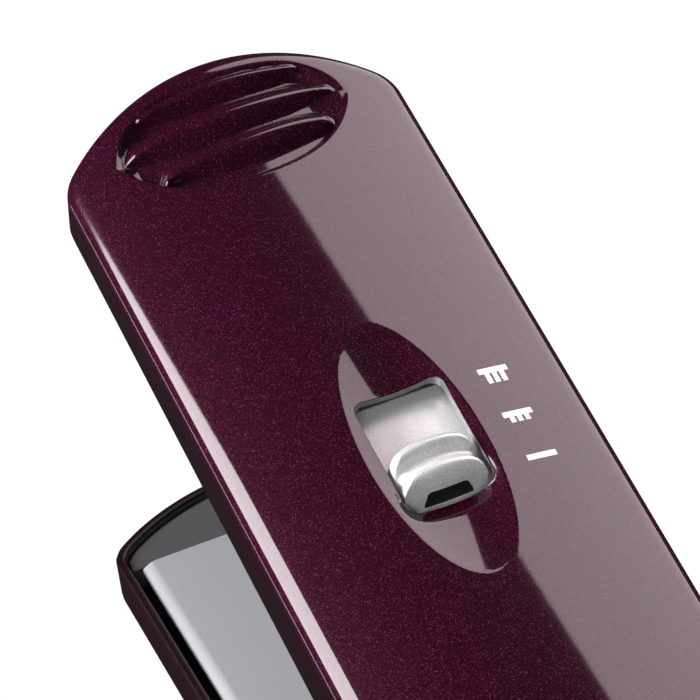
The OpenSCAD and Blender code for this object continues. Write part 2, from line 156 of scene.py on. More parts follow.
def lacquer():
    """Dark plum lacquer: fine coloured flakes under a clear coat."""
    m = material("plum_lacquer", (0.06, 0.005, 0.022), rough=0.40, metal=0.12, coat=1.0, coat_rough=0.06,
                 spec=0.03)
    # most cells are dark base, a few are bright flakes
    cells = object_texture(m, "ShaderNodeTexVoronoi", Scale=9500.0)
    sep = node(m, "ShaderNodeSeparateColor")
    link(m, cells, "Color", sep, "Color")
    flakes = ramp(m, [(0.0, (0.012, 0.0002, 0.0038)), (0.65, (0.018, 0.0003, 0.0062)),
                      (0.92, (0.029, 0.0012, 0.012)), (1.0, (0.105, 0.015, 0.052))])
    link(m, sep, "Red", flakes, "Fac")
    # soft patches, lighter and darker
    cloud = object_texture(m, "ShaderNodeTexNoise", Scale=2300.0, Detail=3.0, Roughness=0.7)
    patches = ramp(m, [(0.3, (0.75, 0.7, 0.75)), (0.72, (1.2, 1.2, 1.2))])
    link(m, cloud, "Fac", patches, "Fac")
    mix = node(m, "ShaderNodeMix", _data_type="RGBA", _blend_type="MULTIPLY")
    mix.inputs[0].default_value = 0.6
    link(m, flakes, "Color", mix, 6)
    link(m, patches, "Color", mix, 7)
    link(m, mix, 2, bsdf(m), "Base Color")
    # each flake leans its own way
    lean = node(m, "ShaderNodeVectorMath", _operation="SUBTRACT")
    lean.inputs[1].default_value = (0.5, 0.5, 0.5)
    link(m, cells, "Color", lean, 0)
    lean_by = node(m, "ShaderNodeVectorMath", _operation="SCALE", Scale=0.30)
    link(m, lean, 0, lean_by, 0)
    add = node(m, "ShaderNodeVectorMath", _operation="ADD")
    link(m, node(m, "ShaderNodeNewGeometry"), "Normal", add, 0)
    link(m, lean_by, 0, add, 1)
    norm = node(m, "ShaderNodeVectorMath", _operation="NORMALIZE")
    link(m, add, 0, norm, 0)
    link(m, norm, 0, bsdf(m), "Normal")
    # slight orange peel in the clear coat
    peel = object_texture(m, "ShaderNodeTexNoise", Scale=330.0, Detail=1.0)
    bump = node(m, "ShaderNodeBump", Strength=0.03, Distance=0.0001)
    link(m, peel, "Fac", bump, "Height")
    link(m, bump, "Normal", bsdf(m), "Coat Normal")
    return m


MAT = {
    "shell": lacquer(),
    # side wall, lip and inner wall: a darker, matt copy of the plum lacquer, painted shade for the dark side
    # of the shell
    "wall": grain(material("side_wall_painted_shade", (0.0055, 0.0012, 0.0026), rough=0.34, spec=0.16), 3000, 0.12,
                  rough_range=(0.30, 0.40)),
    "cover": grain(material("cover_plastic", (0.016, 0.016, 0.018), rough=0.42), 2600, 0.35,
                   rough_range=(0.38, 0.52)),
    "nose": grain(material("nose_plastic", (0.048, 0.050, 0.053), rough=0.6, spec=0.3), 3600, 0.3,
                  rough_range=(0.52, 0.68), tint=((0.026, 0.027, 0.029), (0.036, 0.037, 0.039))),
    "heat_plate": grain(material("plate_coating", (0.30, 0.31, 0.32), rough=0.34, metal=0.5), 5200, 0.12,
                        rough_range=(0.30, 0.40), tint=((0.28, 0.29, 0.305), (0.33, 0.34, 0.355))),
    "heater_ceramic": grain(material("alumina", (0.80, 0.80, 0.76), rough=0.6), 1800, 0.2,
                            rough_range=(0.5, 0.7)),
    "spring_steel": grain(material("spring_steel", (0.56, 0.56, 0.58), rough=0.28, metal=1.0), 2200, 0.15,
                          rough_range=(0.22, 0.36)),
    "sensor": grain(material("sensor_bead", (0.62, 0.30, 0.06), rough=0.2, coat=0.4), 900, 0.1,
                    rough_range=(0.15, 0.3)),
    "board": grain(material("board_green", (0.012, 0.09, 0.035), rough=0.35, coat=0.3), 1500, 0.2,
                   tint=((0.010, 0.075, 0.030), (0.018, 0.11, 0.045))),
    "lens": grain(material("dark_lens", (0.010, 0.010, 0.013), rough=0.12, coat=1.0), 700, 0.02,
                  rough_range=(0.08, 0.16)),
    "wire": grain(material("wire_rubber", (0.55, 0.05, 0.03), rough=0.5), 1600, 0.2, rough_range=(0.42, 0.6)),
    "screw_steel": grain(material("screw_steel", (0.50, 0.50, 0.52), rough=0.3, metal=1.0), 1600, 0.2,
                         rough_range=(0.25, 0.42)),
    "rubber": grain(material("nub_rubber", (0.018, 0.018, 0.018), rough=0.75), 1900, 0.4,
                    rough_range=(0.65, 0.85)),
    "gland": grain(material("gland_rubber", (0.022, 0.022, 0.024), rough=0.62), 1900, 0.4,
                   rough_range=(0.55, 0.72)),
    "button_silver": grain(material("button_silver", (0.42, 0.42, 0.44), rough=0.32, metal=0.8), 3400, 0.2,
                           rough_range=(0.28, 0.4)),
    "button_grey": grain(material("button_grey", (0.10, 0.10, 0.11), rough=0.5), 2600, 0.3,
                         rough_range=(0.42, 0.58)),
    "slider_silver": silver("silver_paint", 0.45, 0.86),
    "comb_steel": grain(material("comb_steel", (0.48, 0.48, 0.50), rough=0.33, metal=1.0), 1300, 0.15,
                        rough_range=(0.28, 0.42)),
    "comb": grain(material("comb_plastic", (0.02, 0.02, 0.022), rough=0.45), 2400, 0.25,
                  rough_range=(0.4, 0.55)),
    "print": grain(material("white_print", (1.0, 0.99, 0.98), rough=0.45), 3500, 0.1,
                   rough_range=(0.4, 0.5)),
}
TRAY = silver("tray_paint", 0.62, 0.98)
# very dark silver on the window's wall: painted shade, where the tray's edge lies in shadow under the rim
SHADED_RIM = silver("rim_painted_shade", 0.10, 0.20)


# ---------------------------------------------------------------- mesh helpers
def add_mesh(name, part, mats, to, body, stands_for=(), smooth=True, face_mats=None, sharp=None):
    """Piece from (vertices in mm, faces), put in the row frame by the matrix to, and riding on body."""
    verts, faces = part
    me = bpy.data.meshes.new(name)
    me.from_pydata([tuple(v) for v in verts], [], [tuple(f) for f in faces])
    for m in mats:
        me.materials.append(m)
    if face_mats is not None:
        me.polygons.foreach_set("material_index", np.asarray(face_mats, np.int32))
    me.polygons.foreach_set("use_smooth", [smooth] * len(me.polygons))
    me.transform(to)
    if to.to_3x3().determinant() < 0:
        me.flip_normals()
    me.validate()
    me.update()
    if sharp is not None:
        me.set_sharp_from_angle(angle=math.radians(sharp))
    ob = bpy.data.objects.new(name, me)
    bpy.context.scene.collection.objects.link(ob)
    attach(ob, body)
    if stands_for:
        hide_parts(*stands_for)
    return ob


def applied(ob):
    """The object's mesh with its modifiers applied; the modifiers are removed."""
    bpy.context.view_layer.update()
    me = bpy.data.meshes.new_from_object(ob.evaluated_get(bpy.context.evaluated_depsgraph_get()))
    ob.modifiers.clear()
    return me


def bevel(ob, width_mm, segments, angle):
    b = ob.modifiers.new("bevel", "BEVEL")
    b.width, b.segments, b.limit_method = width_mm / 1000, segments, "ANGLE"
    b.angle_limit = math.radians(angle)
    b.harden_normals = True
    ob.data = applied(ob)


def smoothstep(t):
    t = np.clip(t, 0, 1)
    return t * t * (3 - 2 * t)


# ---------------------------------------------------------------- arm surface
def half_width(x):
    """Half the arm's width: the handle widens into the head."""
    return HANDLE_HALF + (HALF_W - HANDLE_HALF) * smoothstep((np.asarray(x, float) - WIDEN_X) / WIDEN_L)


def capped(z, top, k, ref):
    """Smooth minimum of z and top over a height of about k; ref only keeps the powers small."""
    return ref - k * np.log(np.exp(-(z - ref) / k) + np.exp(-(top - ref) / k))


def crown_z(x, y):
    """Height of the plain crowned back above the contact plane."""
    ridge = capped(TIP_H + RISE * (ARM_L - np.asarray(x, float)), BODY_H, k=1.2, ref=12)
    return ridge - (CROWN_R - np.sqrt(CROWN_R ** 2 - np.asarray(y, float) ** 2))


def back_xy(x, y):
    """Place on the upper back, from the window's centre, along the arm and across."""
    return x - (ARM_L - WIN_BACK), y - WIN_Y


def rounded_box_distance(px, py, hx, hy, r):
    """Distance outside a rounded box, negative inside."""
    qx, qy = np.abs(px) - (hx - r), np.abs(py) - (hy - r)
    return np.hypot(np.maximum(qx, 0), np.maximum(qy, 0)) + np.minimum(np.maximum(qx, qy), 0) - r


DISH_BACK, DISH_Y, DISH_LEN, DISH_WID, DISH_D = 63.2, -0.65, 18.6, 6.9, 1.75
LIP_D, LIP_W = 1.0, 2.0


def dish(x, y):
    """How far the oval dish and the lip behind the window press the back in."""
    along, across = (x - (ARM_L - DISH_BACK)) / DISH_LEN, (y - DISH_Y) / DISH_WID
    oval = DISH_D * np.clip(1 - (along * along + across * across), 0, None)
    # rounded lip round the rear end of the window, shallower on the right
    px, py = back_xy(x, y)
    dist = rounded_box_distance(px + 1.1, py, WIN_LEN / 2 + 1.1, WIN_WID / 2 + 0.5, 2.6)
    rear = smoothstep((-px - 3.2) / 4.0)
    shallow = 1 - 0.55 * smoothstep((-py - 1.5) / 3.5)
    return oval + LIP_D * np.clip(-dist / LIP_W, 0, 1) * rear * shallow


def ridges(y):
    """Three leaf-shaped ridges: crest and rear foot, as distances from the tip, half length, front width."""
    y2 = y * y
    return [(3.85 + 0.0107 * y2, 6.45 - 0.0095 * y2, 11.4, 1.4),
            (8.7 + 0.00003 * y2 * y2, 11.6 + 0.05 * y - 0.0125 * y2, 14.2, 2.1),
            (13.5 + 0.05 * y + 0.00008 * y2 * y2, 16.2 - 0.0125 * y2, 11.6, 1.9)]


def soft_min(a, b, k):
    h = np.clip(0.5 + 0.5 * (b - a) / k, 0, 1)
    return b + (a - b) * h - k * h * (1 - h)


RECESS_D, RECESS_HALF, CREST_ROUND = 1.45, 15.3, 0.26


def recess(x, y):
    """Depth of the finger recess with its three ridges."""
    b = ARM_L - x
    y2 = y * y
    # rear and front border, as distances from the tip
    rear = 19.3 - 0.02 * y2 - 0.0001 * y2 * y2
    front = 2.4 + 0.00013 * y2 * y2
    basin = RECESS_D * np.minimum(smoothstep((rear - b) / 1.3), smoothstep((b - front) / 3.0))
    basin = basin * smoothstep((RECESS_HALF - np.abs(y)) / np.where(y < 0, 7.0, 3.2))
    depth = np.full_like(basin, 9.0)
    for crest, foot, half_length, front_width in ridges(y):
        t = b - crest
        rear_width = np.maximum(foot - crest, 0.25)
        rear_fall = 1.75 * (t / rear_width) ** 1.1
        front_fall = 1.6 * (-np.minimum(t, 0) / front_width) ** 1.25
        fall = np.where(t > 0, rear_fall, front_fall)
        round_top = np.sqrt(fall ** 2 + CREST_ROUND) - math.sqrt(CREST_ROUND)
        end = smoothstep((np.clip(np.abs(y) / half_length, 0, 1) - 0.84) / 0.22)
        depth = soft_min(depth, 0.06 + round_top + 1.7 * end, 0.30)
    edge = smoothstep(np.minimum((rear - b) / 0.45, (b - front) / 1.2))
    return np.maximum(soft_min(basin, depth, 0.16), 0) * edge


def top_upper(x, y):
    """Back of the upper arm, with the dish and the recess."""
    return crown_z(x, y) - dish(x, y) - recess(x, y)


def top_lower(x, y):
    """Underside of the lower arm: the crown with a flat rest face."""
    return capped(crown_z(x, y), REST_Z - 0.02, k=0.12, ref=14)


def side_curve(x, d):
    """y of the side at x, and its outward normal, for an outline moved in by d."""
    x = np.asarray(x, float)
    hx = half_width(x) - d
    slope = (half_width(x + 0.05) - half_width(x - 0.05)) / 0.1
    nx, ny = -slope, np.ones_like(x)
    y = hx.copy()
    tip = x > CX
    r = CORNER_R - d
    y[tip] = CY + np.sqrt(np.maximum(r * r - (x[tip] - CX) ** 2, 0))
    nx[tip], ny[tip] = (x[tip] - CX) / r, (y[tip] - CY) / r
    xr, yr = SHELL_X0 + REAR_R, HANDLE_HALF - REAR_R
    rear = x < xr
    r = REAR_R - d
    y[rear] = yr + np.sqrt(np.maximum(r * r - (x[rear] - xr) ** 2, 0))
    nx[rear], ny[rear] = (x[rear] - xr) / r, (y[rear] - yr) / r
    n = np.hypot(nx, ny)
    return y, nx / n, ny / n


def tip_curve(y, d):
    """x of the tip's outline at y, and its outward normal, for an outline moved in by d."""
    y = np.asarray(y, float)
    r = TIP_R - d
    ty = r * math.sin(TIP_A)
    x = ARM_L - TIP_R + np.sqrt(r * r - y ** 2)
    nx, ny = (x - (ARM_L - TIP_R)) / r, y / r
    c = np.abs(y) > ty
    rc = CORNER_R - d
    x[c] = CX + np.sqrt(np.maximum(rc * rc - (np.abs(y[c]) - CY) ** 2, 0))
    nx[c], ny[c] = (x[c] - CX) / rc, np.sign(y[c]) * (np.abs(y[c]) - CY) / rc
    return x, nx, ny


def rear_curve(y, d):
    """x of the rear outline at y, and its outward normal, for an outline moved in by d."""
    y = np.asarray(y, float)
    x = np.full_like(y, SHELL_X0 + d)
    nx, ny = -np.ones_like(y), np.zeros_like(y)
    yr = HANDLE_HALF - REAR_R
    c = np.abs(y) > yr
    r = REAR_R - d
    x[c] = SHELL_X0 + REAR_R - np.sqrt(np.maximum(r * r - (np.abs(y[c]) - yr) ** 2, 0))
    nx[c], ny[c] = (x[c] - SHELL_X0 - REAR_R) / r, np.sign(y[c]) * (np.abs(y[c]) - yr) / r
    return x, nx, ny


def spaced(spans):
    """Positions that run through every (start, end, step) span."""
    out = [spans[0][0]]
    for a, b, step in spans:
        n = max(1, int(round((b - a) / step)))
        out += list(np.linspace(a, b, n + 1)[1:])
    return np.array(out)


def window_distance(x, y):
    """Distance outside the window's outline, and how it grows along x and along y."""
    def distance(dx, dy):
        px, py = back_xy(x, y)
        return rounded_box_distance(px + dx, py + dy, WIN_LEN / 2, WIN_WID / 2, WIN_R)

    dist, eps = distance(0, 0), 1e-3
    return dist, (distance(eps, 0) - dist) / eps, (distance(0, eps) - dist) / eps


def around(v):
    return (np.roll(v, 1, 0) + np.roll(v, -1, 0) + np.roll(v, 1, 1) + np.roll(v, -1, 1)) / 4


def fit_to_window(X, Y):
    """Move the grid to the window's outline and even out the rows around it; also gives the cells to keep."""
    keep = window_distance((X[:-1, :-1] + X[1:, 1:]) / 2, (Y[:-1, :-1] + Y[1:, 1:]) / 2)[0] > 0
    nt, nu = keep.shape
    count = np.zeros(X.shape, int)
    for a in (0, 1):
        for b in (0, 1):
            count[a:nt + a, b:nu + b] += ~keep
    rim = (count > 0) & (count < 4)
    for _ in range(8):
        dist, gx, gy = window_distance(X, Y)
        X, Y = np.where(rim, X - dist * gx, X), np.where(rim, Y - dist * gy, Y)
        near = (np.abs(dist) < 1.6) & ~rim
        near[0, :] = near[-1, :] = near[:, 0] = near[:, -1] = False
        X, Y = np.where(near, 0.5 * X + 0.5 * around(X), X), np.where(near, 0.5 * Y + 0.5 * around(Y), Y)
    return X, Y, keep


OUTSIDE, INSIDE, SIDE, WINDOW_WALL_SHADE = 0, 1, 2, 3
RIM_STEPS = [(0.02, 0.0), (0.06, -0.012), (0.10, -0.06), (0.11, -0.13), (0.11, -0.20)]


def window_rim(X, Y, Z, Z_in, keep, idx, first):
    """Rounded rim of the window and its wall down to the inner skin, the lower rim and the wall in dark
    silver as painted shade; first is the first new vertex number.
    """
    edges = []
    for i, j in np.argwhere(keep):
        for p, q, di, dj in (((i, j), (i + 1, j), 0, -1), ((i + 1, j), (i + 1, j + 1), 1, 0),
                             ((i + 1, j + 1), (i, j + 1), 0, 1), ((i, j + 1), (i, j), -1, 0)):
            a, b = i + di, j + dj
            if 0 <= a < keep.shape[0] and 0 <= b < keep.shape[1] and not keep[a, b]:
                edges.append((p, q))
    verts, chains = [], {}
    for v in (v for edge in edges for v in edge):
        if v in chains:
            continue
        _, gx, gy = window_distance(X[v], Y[v])
        levels = [(s, Z[v] + dz) for s, dz in RIM_STEPS] + [(RIM_STEPS[-1][0], Z_in[v])]
        start = first + len(verts)
        chains[v] = [idx[v], *range(start, start + len(levels)), idx[v] + idx.size]
        verts += [(X[v] - gx * s, Y[v] - gy * s, z) for s, z in levels]
    faces, mats = [], []
    for p, q in edges:
        for k in range(len(RIM_STEPS) + 2):
            faces.append((chains[q][k], chains[p][k], chains[p][k + 1], chains[q][k + 1]))
            # the rim's lower steps and the wall get the dark silver of painted shade
            mats.append(OUTSIDE if k < 3 else WINDOW_WALL_SHADE)
    return verts, faces, mats


TIP_BEND_X, REAR_BEND_X, BEND = 178, 30, 1.6


def arm_shell(name, top, stations, columns, to, body, node_name, window=False):
    """Outer shell of one arm: back, rounded edge, side wall, lip, inner wall and inner skin."""
    d = EDGE_IN
    x_end = CX + (CORNER_R - d) * math.cos(CORNER_MID)
    x_start = SHELL_X0 + REAR_R - (REAR_R - d) * math.cos(math.pi / 4)
    xs = spaced([(x_start, stations[0][0], 0.6)] + stations + [(stations[-1][1], x_end, 0.3)])
    side_y, snx, sny = side_curve(xs, d)
    nt, nu = len(xs) - 1, columns
    # columns slightly closer together at the sides; rows bend towards the tip and the rear outline
    u = np.linspace(-1, 1, nu + 1)
    u = u * (1 + 0.10 * (1 - u * u))
    tx, tnx, tny = tip_curve(side_y[-1] * u, d)
    rx, rnx, rny = rear_curve(side_y[0] * u, d)
    to_tip = np.clip((xs - TIP_BEND_X) / (xs[-1] - TIP_BEND_X), 0, 1) ** BEND
    to_rear = np.clip((REAR_BEND_X - xs) / (REAR_BEND_X - xs[0]), 0, 1) ** BEND
    X = xs[:, None] + to_tip[:, None] * (tx - xs[-1]) + to_rear[:, None] * (rx - xs[0])
    Y = side_y[:, None] * u
    keep = np.ones((nt, nu), bool)
    if window:
        X, Y, keep = fit_to_window(X, Y)
    Z = top(X, Y)
    Z_in = np.minimum(crown_z(X, Y) - BACK, Z - 0.85)
    idx = np.arange(X.size).reshape(X.shape)
    verts = [np.stack([X, Y, Z], -1).reshape(-1, 3), np.stack([X, Y, Z_in], -1).reshape(-1, 3)]
    base = 2 * X.size
    faces, mats = [], []
    for i, j in np.argwhere(keep):
        quad = idx[i, j], idx[i + 1, j], idx[i + 1, j + 1], idx[i, j + 1]
        faces += [quad, tuple(v + X.size for v in reversed(quad))]
        mats += [OUTSIDE, INSIDE]
    # closed border, anticlockwise seen from the crown side: grid places and outward normals
    border = [((i, 0), (snx[i], -sny[i]) if i else (rnx[0], rny[0])) for i in range(nt)]
    border += [((nt, j), (tnx[j], tny[j])) for j in range(nu)]
    border += [((i, nu), (snx[i], sny[i]) if i < nt else (tnx[nu], tny[nu])) for i in range(nt, 0, -1)]
    border += [((0, j), (rnx[j], rny[j])) for j in range(nu, 0, -1)]
    N = np.array([n for _, n in border])
    P = np.array([[X[p], Y[p]] for p, _ in border])
    z_plain = crown_z(P[:, 0], P[:, 1])
    z_edge = top(P[:, 0], P[:, 1]) if top is top_lower else z_plain
    # rounded edge: a curve from the back, along its slope, to the side wall
    eps = 0.2
    slope = (z_plain - crown_z(P[:, 0] - N[:, 0] * eps, P[:, 1] - N[:, 1] * eps)) / eps
    z_corner = z_edge + slope * d
    z_side = z_corner - EDGE_DOWN
    rings = []
    for q in np.linspace(0, 1, 9)[1:]:
        rings.append(((2 * q * (1 - q) + q * q) * d,
                      (1 - q) ** 2 * z_edge + 2 * q * (1 - q) * z_corner + q * q * z_side, OUTSIDE))
    # side wall, lip near the contact plane (higher at the nose), inner wall
    lip = HALF_GAP + 0.02 + NOSE_RISE * np.clip((P[:, 0] + N[:, 0] * d - PX1) / NOSE_L, 0, 1)
    rings += [(d, z_side + f * (lip + 0.35 - z_side), SIDE) for f in (0.3, 0.65)]
    rings += [(d - inset, lip + up, SIDE) for inset, up in
              ((0, 0.3), (0.09, 0.09), (0.3, 0), (0.9, 0), (WALL - 0.08, 0.1), (WALL, 0.35))]
    z_inner = np.array([Z_in[p] for p, _ in border]) - 0.5
    rings += [(d - WALL, lip + 0.5 * (z_inner - lip), INSIDE), (d - WALL, z_inner, INSIDE)]
    ring = outer = np.array([idx[p] for p, _ in border])
    m = len(border)
    for out, z, mat in rings + [(None, None, INSIDE)]:
        if out is None:
            new = outer + X.size
        else:
            verts.append(np.column_stack([P + N * out, z]))
            new = base + np.arange(m)
            base += m
        for k in range(m):
            k2 = (k + 1) % m
            faces.append((ring[k], new[k], new[k2], ring[k2]))
            mats.append(mat)
        ring = new
    if window:
        rim_verts, rim_faces, rim_mats = window_rim(X, Y, Z, Z_in, keep, idx, base)
        verts.append(np.array(rim_verts))
        faces += rim_faces
        mats += rim_mats
    surfaces = [MAT["shell"], MAT["cover"], MAT["wall"], SHADED_RIM]
    return add_mesh(name, (np.concatenate(verts), faces), surfaces, to, body,
                    stands_for=[node_name], face_mats=mats, sharp=50)


arm_shell("upper_shell_skin", top_upper,
          [(12.0, 60, 2.0), (60, 146, 1.6), (146, 187, 0.42), (187, 199, 1.0), (199, 220, 0.17)],
          210, TO_UPPER, "upper_arm", "upper_shell", window=True)
arm_shell("lower_shell_skin", top_lower, [(12.0, 60, 2.0), (60, 200, 2.0), (200, 220, 0.6)],
          64, TO_LOWER, "lower_arm", "lower_shell")


# ---------------------------------------------------------------- swept and turned pieces
def prism(outline, a, b, axis):
    """Closed prism: outline in the two other axes, from a to b along axis (0 X, 1 Y, 2 Z)."""
    n = len(outline)
    verts = []
    for t in (a, b):
        for p, q in outline:
            verts.append([(t, p, q), (p, t, q), (p, q, t)][axis])
    faces = [tuple(range(n)), tuple(range(2 * n - 1, n - 1, -1))]
    for k in range(n):
        faces.append((k, k + n, (k + 1) % n + n, (k + 1) % n))
    return verts, faces


def join(*parts):
    verts, faces = [], []
    for v, f in parts:
        base = len(verts)
        verts += [tuple(p) for p in v]
        faces += [tuple(i + base for i in q) for q in f]
    return verts, faces


def shifted(part, x=0, y=0, z=0):
    verts, faces = part
    return [(p[0] + x, p[1] + y, p[2] + z) for p in verts], faces


def slab(top, bottom):
    """Closed slab between two grids of points, each a list of rows."""
    rows, cols = len(top) - 1, len(top[0]) - 1

    def v(layer, i, j):
        return (layer * (rows + 1) + i) * (cols + 1) + j

    faces = []
    for i in range(rows):
        for j in range(cols):
            faces.append((v(0, i, j), v(0, i, j + 1), v(0, i + 1, j + 1), v(0, i + 1, j)))
            faces.append((v(1, i, j), v(1, i + 1, j), v(1, i + 1, j + 1), v(1, i, j + 1)))
    for i in range(rows):
        for j in (0, cols):
            faces.append((v(0, i, j), v(0, i + 1, j), v(1, i + 1, j), v(1, i, j)))
    for j in range(cols):
        for i in (0, rows):
            faces.append((v(0, i, j), v(0, i, j + 1), v(1, i, j + 1), v(1, i, j)))
    return [p for grid in (top, bottom) for row in grid for p in row], faces


def turned(profile, steps=48, axis=0):
    """Solid turned about X (0), Y (1) or Z (2): profile is (position, radius), radius 0 at closed ends."""
    verts, faces, rows = [], [], []
    for t, r in profile:
        if r < 1e-6:
            rows.append([len(verts)])
            verts.append((t, 0, 0))
        else:
            rows.append(list(range(len(verts), len(verts) + steps)))
            for k in range(steps):
                a = 2 * math.pi * k / steps
                verts.append((t, r * math.cos(a), r * math.sin(a)))
    for r0, r1 in zip(rows, rows[1:]):
        for k in range(steps):
            k2 = (k + 1) % steps
            if len(r0) == 1 and len(r1) == 1:
                continue
            if len(r0) == 1:
                faces.append((r0[0], r1[k2], r1[k]))
            elif len(r1) == 1:
                faces.append((r0[k], r0[k2], r1[0]))
            else:
                faces.append((r0[k], r0[k2], r1[k2], r1[k]))
    turn = [(0, 1, 2), (2, 0, 1), (1, 2, 0)][axis]
    return [tuple(v[i] for i in turn) for v in verts], faces


def fix_normals(ob):
    bm = bmesh.new()
    bm.from_mesh(ob.data)
    bmesh.ops.recalc_face_normals(bm, faces=bm.faces)
    bm.to_mesh(ob.data)
    bm.free()
    return ob


def solid(name, part, mat, to, body, stands_for=(), width=0.0, segments=2, angle=35, sharp=40):
    """Closed piece, bevelled where width is given."""
    ob = fix_normals(add_mesh(name, part, [mat], to, body, stands_for=stands_for))
    if width:
        bevel(ob, width, segments, angle)
    else:
        ob.data.set_sharp_from_angle(angle=math.radians(sharp))
    return ob


def box_part(x0, x1, y0, y1, z0, z1):
    return prism([(y0, z0), (y1, z0), (y1, z1), (y0, z1)], x0, x1, 0)


def arc(cx, cy, r, a0, a1, n):
    """n points on an arc, angles in degrees."""
    return [(cx + r * math.cos(math.radians(a)), cy + r * math.sin(math.radians(a)))
            for a in np.linspace(a0, a1, n)]


# ---------------------------------------------------------------- heat plates
RAIL_IN, RAIL_OUT, RAIL_TOP = 10.6, 11.6, 3.9


def plate_skin(name, to, body, node_name):
    """Heat plate with rounded long edges and two rails at its back."""
    w, g = PLATE_HALF, HALF_GAP
    edge = [(w, g + 0.8), (w - 0.5, g + 0.46), (w - 1.1, g + 0.14), (w - 1.6, g)]
    outline = [(-y, z) for y, z in edge] + [(y, z) for y, z in reversed(edge)]
    back = [(w, g + PLATE_T), (RAIL_OUT, g + PLATE_T), (RAIL_OUT, RAIL_TOP), (RAIL_IN, RAIL_TOP),
            (RAIL_IN, g + PLATE_T)]
    outline += back + [(-y, z) for y, z in reversed(back)]
    return solid(name, prism(outline, PX0, PX1, 0), MAT["heat_plate"], to, body,
                 [node_name], width=0.22, segments=3, angle=20)


plate_skin("upper_plate_skin", TO_UPPER, "upper_arm", "upper_heat_plate")
plate_skin("lower_plate_skin", TO_LOWER, "lower_plate", "lower_heat_plate")


# ---------------------------------------------------------------- nose pieces
def nose_skin(name, to, body, node_name):
    """Matt piece that fills the tip between the plate and the rim."""
    rows, cols, back_z = 12, 40, 4.2
    inset = WALL + 0.35
    half = CY + (CORNER_R - inset) * math.sin(CORNER_MID)
    x0 = PX1 + 0.5
    face = []
    for t in (i / rows for i in range(rows + 1)):
        row = []
        for u in np.linspace(-1, 1, cols + 1):
            length = float(tip_curve(np.array([u * half]), inset)[0][0]) - x0
            x = x0 + t * length
            side_y = float(side_curve(np.array([min(x, CX + 1.9)]), inset)[0][0])
            lip = HALF_GAP + NOSE_RISE * max(0, (x - PX1) / NOSE_L)
            # slightly hollow, and rounded away at both ends
            z = lip + 0.75 + 0.15 * math.sin(math.pi * t)
            z += 0.35 * max(0, 1 - min(t, 1 - t) * length / 0.5) ** 2
            row.append((x, u * ((1 - t) * side_y + t * half), z))
        face.append(row)
    back = [[(x, y, back_z) for x, y, _ in row] for row in face]
    return solid(name, slab(face, back), MAT["nose"], to, body, [node_name], sharp=50)


nose_skin("upper_nose_skin", TO_UPPER, "upper_arm", "upper_nose_cover")
nose_skin("lower_nose_skin", TO_LOWER, "lower_arm", "lower_nose_cover")


# ---------------------------------------------------------------- thumb slider
GRIP_HALF, GRIP_FOOT = 5.0, -3.45


def smooth_curve(points, steps):
    """Catmull-Rom curve through the points."""
    out = []
    for k in range(len(points) - 1):
        four = points[max(k - 1, 0)], points[k], points[k + 1], points[min(k + 2, len(points) - 1)]
        for s in np.linspace(0, 1, steps + 1)[:-1]:
            out.append(tuple(0.5 * (2 * b + (-a + c) * s + (2 * a - 5 * b + 4 * c - d) * s * s
                                    + (-a + 3 * b - 3 * c + d) * s ** 3) for a, b, c, d in zip(*four)))
    return out + [points[-1]]


# side view of the grip along the back: (x, z) from the front foot over both ridges to the rear foot
GRIP_PROFILE = [(0.55, GRIP_FOOT), (0.45, -2.4), (0.25, -1.2), (-0.05, -0.35), (-0.45, 0.30), (-0.95, 0.62),
                (-1.35, 0.64), (-1.72, 0.42), (-2.1, -0.02), (-2.5, -0.40), (-2.95, -0.52), (-3.4, -0.36),
                (-3.8, 0.02), (-4.15, 0.36), (-4.6, 0.45), (-5.05, 0.32), (-5.5, -0.05), (-5.9, -0.55),
                (-6.3, -1.1), (-6.65, -1.7), (-6.85, -2.3), (-6.9, GRIP_FOOT)]
CUT_PROFILE = [(-3.0, -3.36), (3.0, -3.36), (2.9, -2.6), (2.45, -1.62), (2.0, -1.42), (-2.0, -1.42),
               (-2.45, -1.62), (-2.9, -2.6)]


def slider_grip():
    """Thumb grip: the profile swept across the arm and arched, with a dark cut-out in its rear face."""
    profile = smooth_curve(GRIP_PROFILE, 4)
    m, n_side = len(profile), 36
    verts, faces = [], []
    for k in range(n_side + 1):
        v = math.sin((-1 + 2 * k / n_side) * math.pi / 2)
        arch = 0.70 * v * v
        round_off = 1.0 - math.sqrt(max(0.0, 1 - max(0.0, (abs(v) - 0.72) / 0.28) ** 2))
        for x, z in profile:
            # the ends of the grip bend in at both sides
            bend = min(1.0, max(-0.45, (x + 6.3) / 1.7))
            low = max(GRIP_FOOT, z - arch - 1.5 * round_off) if z > GRIP_FOOT + 0.05 else z
            verts.append((x - 1.15 * abs(v) ** 3 * bend - 0.35 * round_off * bend, GRIP_HALF * v, low))
    for k in range(n_side):
        a, b = k * m, (k + 1) * m
        faces += [(a + j, a + j + 1, b + j + 1, b + j) for j in range(m - 1)]
        faces.append((a, b, b + m - 1, a + m - 1))
    faces += [tuple(range(m)), tuple(n_side * m + j for j in range(m - 1, -1, -1))]
    ob = fix_normals(add_mesh("slider_grip", (verts, faces), [MAT["slider_silver"], MAT["cover"]], ON_BACK,
                              "comb_slider", stands_for=["slider_button"]))
    cutter = fix_normals(add_mesh("cutter", prism(CUT_PROFILE, -8.2, -5.2, 0), [MAT["cover"]], ON_BACK,
                                  "comb_slider"))
    b = ob.modifiers.new("cut", "BOOLEAN")
    b.operation, b.object, b.solver, b.material_mode = "DIFFERENCE", cutter, "EXACT", "TRANSFER"
    ob.data = applied(ob)
    bpy.data.objects.remove(cutter)
    ob.data.set_sharp_from_angle(angle=math.radians(42))


slider_grip()


